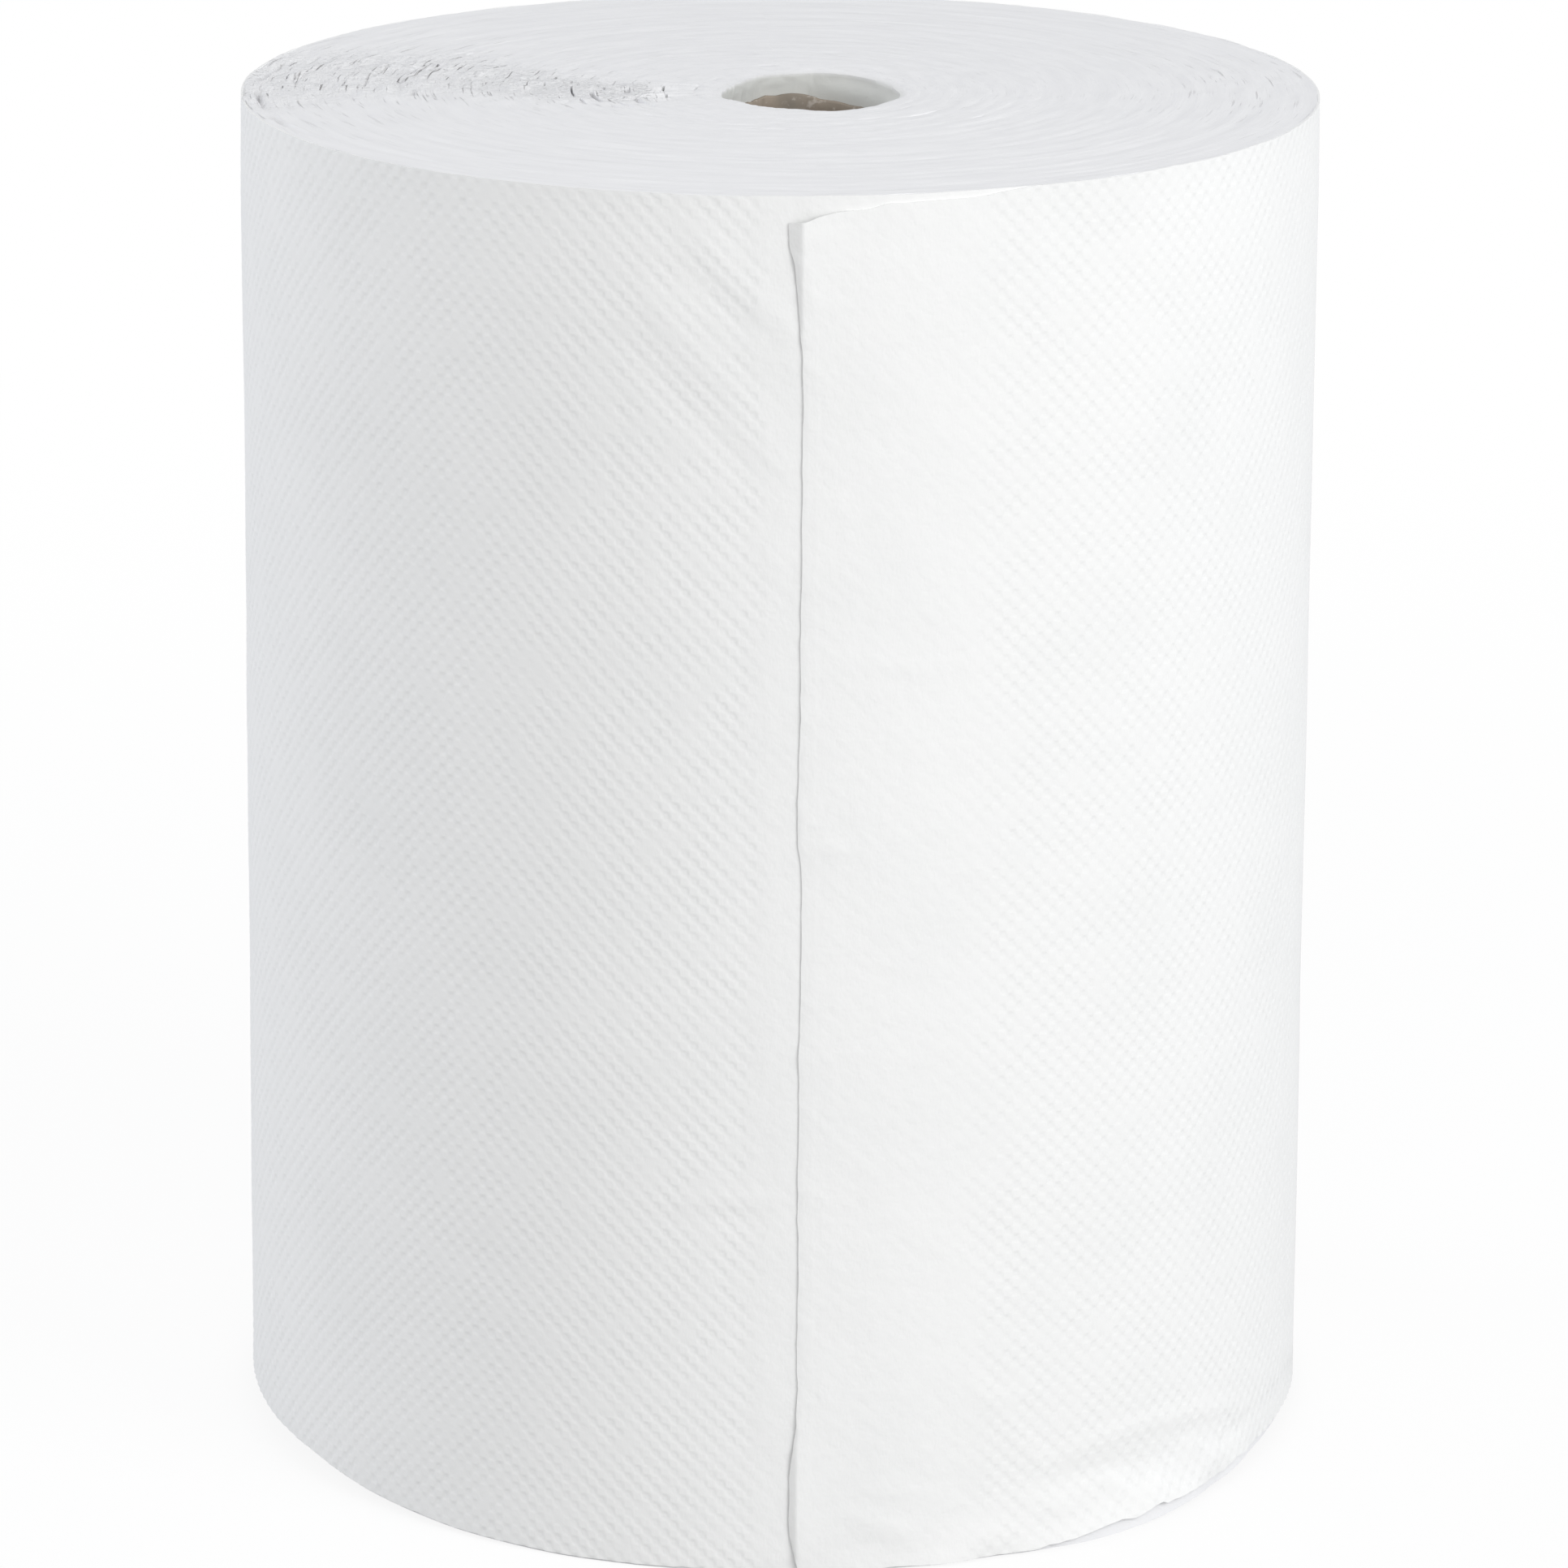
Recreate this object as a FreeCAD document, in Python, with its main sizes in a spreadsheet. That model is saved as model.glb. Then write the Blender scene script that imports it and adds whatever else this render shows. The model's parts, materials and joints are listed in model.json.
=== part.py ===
import FreeCAD, Part
import Sketcher

import os

from FreeCAD import Vector

# A large roll of embossed paper towel on a cardboard core, standing on its end.
# The origin is on the core's axis at the foot of the roll, and +Z points up.
# Seen from above, the paper is wound inwards counter-clockwise from its free end,
# the tail, whose edge stands at the front, facing -Y.

# Driving sizes in millimetres: name, value, meaning
SIZES = (
    ("roll_height", 254.0, "width of the paper web, so the height of the roll"),
    ("roll_radius", 100.0, "radius of the roll at the tail's edge"),
    ("sheet", 0.4, "thickness of the two-ply embossed sheet at its tail"),
    ("core_bore", 19.05, "inner radius of the cardboard core"),
    ("core_wall", 1.0, "wall of the cardboard core"),
    ("core_fit", 0.05, "clearance between the core and the first turn"),
    ("core_recess", 4.5, "how far the core's upper end lies below the paper's"),
    ("core_foot", 1.0, "how far the core's lower end lies above the paper's"),
    ("band", 10.0, "pitch of the spiral groove that parts the bands of turns"),
    ("groove_width", 0.8, "width of the spiral groove in the ends of the roll"),
    ("groove_depth", 0.5, "depth of the spiral groove in the ends of the roll"),
    ("rim_land", 2.0, "width of the outermost band of turns where it starts at the tail"),
    ("core_land", 3.0, "least width of the innermost band of turns, beside the core"),
    ("dip_depth", 4.5, "how far the tail's upper corner has sunk below the end of the roll"),
    ("dip_run", 42.0, "length over which the tail's upper edge climbs back to the end"),
    ("overrun", 2.0, "how far a cutting shape reaches past the faces that it cuts"),
)

# Sketcher's numbers for an element's points, and for the sketch's own axes and origin
START, END, CENTRE = range(1, 4)
HORIZONTAL_AXIS, VERTICAL_AXIS = range(-1, -3, -1)
ORIGIN = (HORIZONTAL_AXIS, START)
QUARTER_TURN = FreeCAD.Units.Quantity("90 deg").getValueAs("rad").Value


def make_sheet(doc):
    """Write the driving sizes into a spreadsheet, each under its own alias."""
    sheet = doc.addObject("Spreadsheet::Sheet", "Sizes")
    for row, (alias, value, meaning) in enumerate(SIZES, start=1):
        sheet.set(f"A{row}", alias)
        sheet.set(f"B{row}", str(value))
        sheet.set(f"C{row}", meaning)
        sheet.setAlias(f"B{row}", alias)
    doc.recompute()
    return sheet


class Plan:
    """A sketch on one of a body's own planes, each size of which follows the sheet."""

    def __init__(self, body, name, plane, level=None):
        self.sketch = body.newObject("Sketcher::SketchObject", name)
        self.bound = 0
        support = [part for part in body.Origin.OriginFeatures if part.Role == plane][0]
        self.sketch.AttachmentSupport = [(support, "")]
        self.sketch.MapMode = "FlatFace"
        if level:
            self.sketch.setExpression("AttachmentOffset.Base.z", level)

    def number(self, expression):
        """What an expression in the sheet's aliases comes to."""
        return float(self.sketch.evalExpression(expression))

    def add(self, shape):
        """Add a line, an arc or a circle, and return its index."""
        return self.sketch.addGeometry(shape, False)

    def line(self, start, end):
        """Add a straight line from one point to another, each as (x, y)."""
        return self.add(Part.LineSegment(Vector(*start, 0), Vector(*end, 0)))

    def hold(self, kind, *where):
        """Add a constraint that has no size."""
        self.sketch.addConstraint(Sketcher.Constraint(kind, *where))

    def bind(self, kind, where, expression):
        """Add a size, or a distance from the origin along one axis, and tie it to the sheet."""
        number = self.number(expression)
        ends = [*ORIGIN, *where] if kind.startswith("Distance") else [*where]
        index = self.sketch.addConstraint(Sketcher.Constraint(kind, *ends, number))
        self.bound += 1
        name = f"size{self.bound}"
        self.sketch.renameConstraint(index, name)
        self.sketch.setExpression(f"Constraints.{name}", expression)


def wind(plan, start, pitch, halves):
    """Draw a spiral of tangent half turns, whose joints all lie on the vertical axis.

    It starts at the front and runs counter-clockwise. Each half turn comes nearer to
    the axis by half the pitch. Returns its first point and its last, as (index, end).
    """
    reaches = [f"{start} - {step} * {pitch} / 2" for step in range(halves + 1)]
    sides = [1 if step % 2 else -1 for step in range(halves + 1)]
    heights = [side * plan.number(reach) for side, reach in zip(sides, reaches)]
    arcs = []
    for step in range(halves):
        centre = Vector(0, (heights[step] + heights[step + 1]) / 2, 0)
        radius = abs(heights[step + 1] - heights[step]) / 2
        circle = Part.Circle(centre, Vector(0, 0, 1), radius)
        opening = sides[step] * QUARTER_TURN
        arcs.append(plan.add(Part.ArcOfCircle(circle, opening, opening + 2 * QUARTER_TURN)))
    points = [(arc, START) for arc in arcs] + [(arcs[-1], END)]
    for arc in arcs:
        plan.hold("PointOnObject", arc, CENTRE, VERTICAL_AXIS)
    for before, after in zip(arcs, arcs[1:]):
        plan.hold("Coincident", before, END, after, START)
    for point, side, reach in zip(points, sides, reaches):
        plan.hold("PointOnObject", *point, VERTICAL_AXIS)
        plan.bind("DistanceY", point, f"{side} * ({reach})")
    return points[0], points[-1]


def close(plan, first, second):
    """Join two points of a plan with a straight edge."""
    ends = [plan.sketch.getPoint(*point) for point in (first, second)]
    edge = plan.line((ends[0].x, ends[0].y), (ends[1].x, ends[1].y))
    plan.hold("Coincident", edge, START, *first)
    plan.hold("Coincident", edge, END, *second)


def ring(plan, radius):
    """Draw a circle about the origin."""
    circle = plan.add(Part.Circle(Vector(0, 0, 0), Vector(0, 0, 1), plan.number(radius)))
    plan.hold("Coincident", circle, CENTRE, *ORIGIN)
    plan.bind("Radius", (circle,), radius)


def raise_from(body, plan, name, length):
    """Pad a sketch along its normal."""
    pad = body.newObject("PartDesign::Pad", name)
    pad.Profile = plan.sketch
    pad.setExpression("Length", length)
    return pad


def make_core(doc):
    """The core: a plain cardboard tube, a little shorter than the paper at both ends."""
    body = doc.addObject("PartDesign::Body", "Core")
    body.Label = "core_tube"
    plan = Plan(body, "CoreSection", "XY_Plane", "Sizes.core_foot")
    ring(plan, "Sizes.core_bore")
    ring(plan, "Sizes.core_bore + Sizes.core_wall")
    raise_from(body, plan, "CoreWall", "Sizes.roll_height - Sizes.core_recess - Sizes.core_foot")
    return body


def make_winding(doc):
    """All the turns as one solid: a spiral outline with the tail's step, round the core."""
    body = doc.addObject("PartDesign::Body", "Winding")
    body.Label = "winding"
    plan = Plan(body, "Outline", "XY_Plane")
    tail, under_tail = wind(plan, "Sizes.roll_radius", "Sizes.sheet", 2)
    close(plan, tail, under_tail)
    ring(plan, "Sizes.core_bore + Sizes.core_wall + Sizes.core_fit")
    raise_from(body, plan, "Turns", "Sizes.roll_height")
    doc.recompute()
    cut_groove(doc, body, "Upper", "Sizes.roll_height", upwards=False)
    cut_groove(doc, body, "Lower", None, upwards=True)
    return body


def cut_groove(doc, body, end, level, upwards):
    """Cut the spiral groove between the bands of turns into one end of the roll."""
    plan = Plan(body, f"{end}Spiral", "XY_Plane", level)
    outside = "Sizes.roll_radius - Sizes.rim_land"
    room = plan.number(
        f"{outside} - Sizes.groove_width - Sizes.core_land"
        " - Sizes.core_bore - Sizes.core_wall - Sizes.core_fit"
    )
    halves = int(room / plan.number("Sizes.band / 2"))
    outer_start, outer_end = wind(plan, outside, "Sizes.band", halves)
    inner_start, inner_end = wind(plan, f"{outside} - Sizes.groove_width", "Sizes.band", halves)
    close(plan, outer_start, inner_start)
    close(plan, outer_end, inner_end)
    pocket = body.newObject("PartDesign::Pocket", f"{end}Groove")
    pocket.Profile = plan.sketch
    pocket.Reversed = upwards
    pocket.setExpression("Length", "Sizes.groove_depth")
    before = pocket.BaseFeature.Shape.Volume
    doc.recompute()
    if pocket.Shape.Volume >= before:
        raise RuntimeError(f"{end}Groove cuts nothing")


def make_tail_dip(doc):
    """What the tail's upper edge lacks: the outermost sheet alone, above a falling curve."""
    strip = doc.addObject("PartDesign::Body", "DipStrip")
    strip.Label = "dip_strip"
    plan = Plan(strip, "LastSheet", "XY_Plane", "Sizes.roll_height - Sizes.dip_depth")
    outer_start, outer_end = wind(plan, "Sizes.roll_radius + Sizes.overrun", "Sizes.sheet", 1)
    inner_start, inner_end = wind(plan, "Sizes.roll_radius - Sizes.sheet", "Sizes.sheet", 1)
    close(plan, outer_start, inner_start)
    close(plan, outer_end, inner_end)
    raise_from(strip, plan, "LastSheetStrip", "Sizes.dip_depth + Sizes.overrun")

    wedge = doc.addObject("PartDesign::Body", "DipWedge")
    wedge.Label = "dip_wedge"
    plan = Plan(wedge, "DipProfile", "XZ_Plane")
    draw_dip(plan)
    raise_from(wedge, plan, "DipPrism", "Sizes.roll_radius + 2 * Sizes.overrun")

    dip = doc.addObject("Part::Common", "TailDip")
    dip.Label = "tail_dip"
    dip.Base = strip
    dip.Tool = wedge
    return dip


def draw_dip(plan):
    """Draw the region above the tail's upper edge, seen from the front.

    The edge is an arc that leaves the end of the roll level and falls to the corner.
    """
    run = plan.number("Sizes.dip_run")
    top = plan.number("Sizes.roll_height")
    corner = plan.number("Sizes.roll_height - Sizes.dip_depth")
    clear = plan.number("Sizes.overrun")
    through = (run / 2, top - (top - corner) / 4)
    arc = plan.add(Part.Arc(Vector(run, top, 0), Vector(*through, 0), Vector(0, corner, 0)))
    crest, fallen = (arc, START), (arc, END)
    if plan.sketch.getPoint(*crest).x < plan.sketch.getPoint(*fallen).x:
        crest, fallen = fallen, crest
    plan.bind("DistanceX", crest, "Sizes.dip_run")
    plan.bind("DistanceY", crest, "Sizes.roll_height")
    plan.hold("PointOnObject", *fallen, VERTICAL_AXIS)
    plan.bind("DistanceY", fallen, "Sizes.roll_height - Sizes.dip_depth")
    plan.hold("Vertical", arc, CENTRE, *crest)
    sill = plan.line((0, corner), (-clear, corner))
    jamb = plan.line((-clear, corner), (-clear, top + clear))
    lintel = plan.line((-clear, top + clear), (run, top + clear))
    post = plan.line((run, top + clear), (run, top))
    plan.hold("Coincident", sill, START, *fallen)
    plan.hold("Coincident", sill, END, jamb, START)
    plan.hold("Coincident", jamb, END, lintel, START)
    plan.hold("Coincident", lintel, END, post, START)
    plan.hold("Coincident", post, END, *crest)
    plan.hold("Horizontal", sill)
    plan.hold("Vertical", jamb)
    plan.hold("Horizontal", lintel)
    plan.hold("Vertical", post)
    plan.bind("DistanceX", (jamb, START), "-Sizes.overrun")
    plan.bind("DistanceY", (lintel, START), "Sizes.roll_height + Sizes.overrun")


def make_paper(doc):
    """The wound paper: the winding less what its sunken tail leaves bare."""
    paper = doc.addObject("Part::Cut", "Paper")
    paper.Label = "wound_paper"
    paper.Base = make_winding(doc)
    paper.Tool = make_tail_dip(doc)
    return paper


def check(doc, parts):
    """Stop if any object failed, or any part to be written is null or not valid."""
    for item in doc.Objects:
        if "Invalid" in item.State or "Error" in item.State:
            raise RuntimeError(f"{item.Label} failed: {item.State}")
    for part in parts:
        if part.Shape.isNull() or not part.Shape.isValid() or not part.Shape.Solids:
            raise RuntimeError(f"{part.Label} has no valid solid")


def main():
    doc = FreeCAD.newDocument("TowelRoll")
    make_sheet(doc)
    parts = (make_core(doc), make_paper(doc))
    doc.recompute()
    check(doc, parts)
    os.makedirs("parts", exist_ok=True)
    for part in parts:
        part.Shape.exportStep(f"parts/{part.Label}.step")
        print(part.Label, len(part.Shape.Solids), "solid", round(part.Shape.Volume / 1000, 2), "cm3")


main()
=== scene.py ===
import json
import logging
import math
from dataclasses import dataclass, field
from enum import Enum

import bpy
import numpy as np
from mathutils import Matrix, Vector


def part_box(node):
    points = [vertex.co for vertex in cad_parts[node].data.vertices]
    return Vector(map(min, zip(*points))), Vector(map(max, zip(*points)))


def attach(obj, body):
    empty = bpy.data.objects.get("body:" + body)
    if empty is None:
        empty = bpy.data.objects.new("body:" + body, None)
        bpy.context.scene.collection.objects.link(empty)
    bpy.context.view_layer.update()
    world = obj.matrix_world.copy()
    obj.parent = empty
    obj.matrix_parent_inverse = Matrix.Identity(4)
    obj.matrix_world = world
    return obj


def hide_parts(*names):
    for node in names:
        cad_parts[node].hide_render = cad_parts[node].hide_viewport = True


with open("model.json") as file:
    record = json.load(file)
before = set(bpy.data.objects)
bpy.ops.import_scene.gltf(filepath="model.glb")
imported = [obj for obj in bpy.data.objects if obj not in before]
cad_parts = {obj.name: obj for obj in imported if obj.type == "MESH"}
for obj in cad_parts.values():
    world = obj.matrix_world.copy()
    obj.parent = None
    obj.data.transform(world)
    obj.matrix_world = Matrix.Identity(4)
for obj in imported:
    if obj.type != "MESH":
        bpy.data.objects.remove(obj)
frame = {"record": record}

# A large roll of dot-embossed paper towel, standing on its end, in metres.
# The tail is the paper's free end. Its edge stands at the front, facing -Y, and the
# paper runs from there counter-clockwise, seen from above. Places on the last turn are
# given as a distance from the tail along the paper, and a height over the foot.

MM = 0.001
BODY = "root"
PAPER_NODE = "wound_paper"
CORE_NODE = "core_tube"
PAPER_SLOT = "towel_paper"
BOARD_SLOT = "core_board"
SHARP_ANGLE = math.radians(50)
RAG = "raggedness"
# Mask of the painted shade on the hole's wall
HOLE_SHADE = "painted_hole_shade"
NUMBER_SOCKET = "NodeSocketFloat"

log = logging.getLogger("towel_roll")


@dataclass(frozen=True)
class RollSizes:
    """The roll's sizes in metres, as the frame has them."""

    radius: float
    height: float
    hole: float
    core_bore: float
    core_foot: float
    core_top: float

    @classmethod
    def from_frame(cls) -> "RollSizes":
        """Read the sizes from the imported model.

        Returns:
            The sizes of the paper and of the core.
        """
        paper_low, paper_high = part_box(PAPER_NODE)
        core_low, core_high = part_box(CORE_NODE)
        bores = [m for m in frame["record"]["mounts"] if m["name"] == "core_bore"]
        return cls(
            radius=-paper_low[1],
            height=paper_high[2],
            hole=core_high[0],
            core_bore=bores[0]["dims"]["r_mm"] * MM,
            core_foot=core_low[2],
            core_top=core_high[2],
        )

    @property
    def girth(self) -> float:
        """Length of paper in the last turn."""
        return 2 * math.pi * self.radius


def smooth(low: float, high: float, value: np.ndarray) -> np.ndarray:
    """Rise smoothly from 0 to 1 between two limits.

    Args:
        low: where the rise starts.
        high: where it ends, which may lie below low for a fall.
        value: the places at which it is wanted.

    Returns:
        The rise at each place.
    """
    part = np.clip((value - low) / (high - low), 0.0, 1.0)
    return part * part * (3 - 2 * part)


def read_line(line: tuple, place: np.ndarray) -> np.ndarray:
    """Read a line that is given by a few points.

    Args:
        line: the points, each as a place and a value in millimetres.
        place: where it is wanted, in the unit of the points' places.

    Returns:
        The value at each place, in metres.
    """
    places, values = zip(*line)
    return np.interp(place, places, values) * MM


class Noise:
    """Smooth seeded noise from -1 to 1, which closes on itself round the roll."""

    def __init__(self, seed: int, around: int, across: int = 64) -> None:
        """Draw the noise's random values.

        Args:
            seed: number of the random series.
            around: cells round the roll.
            across: cells in the other direction before it repeats.
        """
        self.values = np.random.default_rng(seed).uniform(-1, 1, (around, across))

    def at(self, turn: np.ndarray, across: np.ndarray) -> np.ndarray:
        """Read the noise.

        Args:
            turn: place round the roll, where 1 is a whole turn.
            across: place in the other direction, in cells.

        Returns:
            The noise at each place.
        """
        around, rows = self.values.shape
        u = (turn % 1.0) * around
        v = across % rows
        i, j = np.floor(u).astype(int), np.floor(v).astype(int)
        fu, fv = smooth(0, 1, u - i), smooth(0, 1, v - j)
        i, j = i % around, j % rows
        i_next, j_next = (i + 1) % around, (j + 1) % rows
        low = self.values[i, j] * (1 - fu) + self.values[i_next, j] * fu
        high = self.values[i, j_next] * (1 - fu) + self.values[i_next, j_next] * fu
        return low * (1 - fv) + high * fv

    def round_at(self, turn: np.ndarray) -> np.ndarray:
        """Read the noise round the roll alone, at one place across."""
        return self.at(turn, np.full_like(turn, 0.5))


class MeshDraft:
    """Points and faces of one piece while it is being made."""

    def __init__(self) -> None:
        """Start with no points."""
        self.points: list[np.ndarray] = []
        self.faces: list[list[int]] = []
        self.count = 0

    def add(self, points: np.ndarray) -> np.ndarray:
        """Add a grid of points.

        Args:
            points: an array whose last axis is x, y and z.

        Returns:
            The points' numbers, in the same grid.
        """
        flat = points.reshape(-1, 3)
        numbers = np.arange(self.count, self.count + len(flat)).reshape(points.shape[:-1])
        self.points.append(flat)
        self.count += len(flat)
        return numbers

    def skin(self, numbers: np.ndarray, flip: bool = False) -> None:
        """Cover a grid of points with four-sided faces.

        Args:
            numbers: the points' numbers in a grid.
            flip: whether the faces look the other way.
        """
        a, b = numbers[:-1, :-1], numbers[1:, :-1]
        c, d = numbers[1:, 1:], numbers[:-1, 1:]
        corners = (a, d, c, b) if flip else (a, b, c, d)
        self.faces.extend(np.stack([part.ravel() for part in corners], axis=1).tolist())

    def wrap(self, points: np.ndarray, flip: bool = False) -> None:
        """Add a grid of points that closes on itself both ways, and cover it with faces.

        Args:
            points: the grid, whose last axis is x, y and z.
            flip: whether the faces look the other way.
        """
        numbers = self.add(points)
        numbers = np.concatenate([numbers, numbers[:1]], axis=0)
        numbers = np.concatenate([numbers, numbers[:, :1]], axis=1)
        self.skin(numbers, flip)

    def face(self, numbers: list[int]) -> None:
        """Add one face of any number of corners."""
        self.faces.append([int(number) for number in numbers])

    def build(self, name: str) -> bpy.types.Object:
        """Make the piece.

        Args:
            name: the piece's name.

        Returns:
            The new object, smooth but for its real edges.
        """
        mesh = bpy.data.meshes.new(name)
        mesh.from_pydata(np.concatenate(self.points).tolist(), [], self.faces)
        mesh.polygons.foreach_set("use_smooth", [True] * len(mesh.polygons))
        mesh.set_sharp_from_angle(angle=SHARP_ANGLE)
        mesh.validate()
        mesh.update()
        piece = bpy.data.objects.new(name, mesh)
        bpy.context.scene.collection.objects.link(piece)
        return piece


def on_roll(turn: np.ndarray, reach: np.ndarray, level: np.ndarray) -> np.ndarray:
    """Place points round the roll's axis.

    Args:
        turn: place round the roll from the tail, where 1 is a whole turn.
        reach: distance from the axis.
        level: height over the foot.

    Returns:
        The points, with x, y and z on the last axis.
    """
    angle = 2 * math.pi * turn
    turn_x, turn_y = np.sin(angle), -np.cos(angle)
    return np.stack(np.broadcast_arrays(reach * turn_x, reach * turn_y, level), axis=-1)


@dataclass(frozen=True)
class Embossing:
    """The pattern of pressed dots: a square lattice with a dot in the middle of each cell."""

    cells_around: int = 185
    cells_high: int = 75
    depth: float = 0.19 * MM
    edge_low: float = -0.55
    edge_high: float = 0.97

    def dots(self, turn: np.ndarray, rise: np.ndarray) -> np.ndarray:
        """How deep the paper is pressed, from 0 between the dots to 1 in their middle.

        Args:
            turn: place round the roll.
            rise: height as a share of the roll's.

        Returns:
            The share of the full depth.
        """
        wave = np.cos(2 * math.pi * self.cells_around * turn)
        wave = wave * np.cos(2 * math.pi * self.cells_high * rise)
        return smooth(self.edge_low, self.edge_high, wave)


@dataclass(frozen=True)
class Crease:
    """A soft fold in the last turn, in millimetres from the tail and over the foot."""

    start: tuple[float, float]
    end: tuple[float, float]
    width: float
    height: float
    bow: float = 0.0

    def relief(self, along: np.ndarray, level: np.ndarray) -> np.ndarray:
        """How far the fold lifts the paper.

        Args:
            along: distance from the tail, less than 0 to its left.
            level: height over the foot.

        Returns:
            The lift at each place, in metres.
        """
        run = (self.end[0] - self.start[0]) * MM
        rise = (self.end[1] - self.start[1]) * MM
        length = math.hypot(run, rise)
        ahead, up = along - self.start[0] * MM, level - self.start[1] * MM
        share = (ahead * run + up * rise) / length**2
        off = (up * run - ahead * rise) / length
        off = off - self.bow * MM * 4 * share * (1 - share)
        taper = smooth(-0.15, 0.25, share) * smooth(1.15, 0.75, share)
        return self.height * MM * np.exp(-((off / (self.width * MM)) ** 2)) * taper


TAIL_CREASES = (
    Crease((-20, 249), (3, 221), 2.4, 0.28),
    Crease((-22, 241), (1, 224), 1.8, -0.26),
    Crease((-30, 238), (-5, 212), 2.2, 0.24),
    Crease((-34, 230), (-8, 204), 1.8, -0.2),
    Crease((-13, 214), (0, 203), 1.8, 0.14),
    Crease((-27, 70.0), (0, 71.8), 0.9, 0.22),
    Crease((-24, 67.5), (-4, 68.0), 1.3, -0.14),
    Crease((0, 72.0), (5, 71.2), 0.9, 0.16),
    Crease((2, 170.6), (36, 168.4), 1.1, 0.13),
    Crease((1, 136.2), (10, 137.0), 0.9, 0.18),
    Crease((3, 141), (7, 135), 1.2, 0.16),
    Crease((31, 36), (49, 15), 1.9, 0.26),
    Crease((36, 31.0), (46, 31.2), 1.0, 0.2),
    Crease((38, 29), (54, 13), 1.5, -0.18),
    Crease((50, 17), (102, 12), 1.3, 0.45, bow=3.5),
    Crease((48, 12), (84, 7), 1.8, -0.3, bow=2.0),
    Crease((8, 12), (22, 5), 1.6, 0.24),
    Crease((12, 16), (31, 12), 1.1, 0.2),
    Crease((40, 12), (53, 5), 1.2, 0.28),
    Crease((58, 11), (67, 4), 1.1, 0.34),
    Crease((69, 8), (79, 5), 1.0, -0.3),
    Crease((80, 11), (93, 4), 1.2, 0.34),
    Crease((94, 6), (106, 8), 1.0, -0.26),
    Crease((6, 6), (24, 2), 1.5, -0.14),
    Crease((1, 237), (5, 233), 1.0, 0.16),
)


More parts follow.
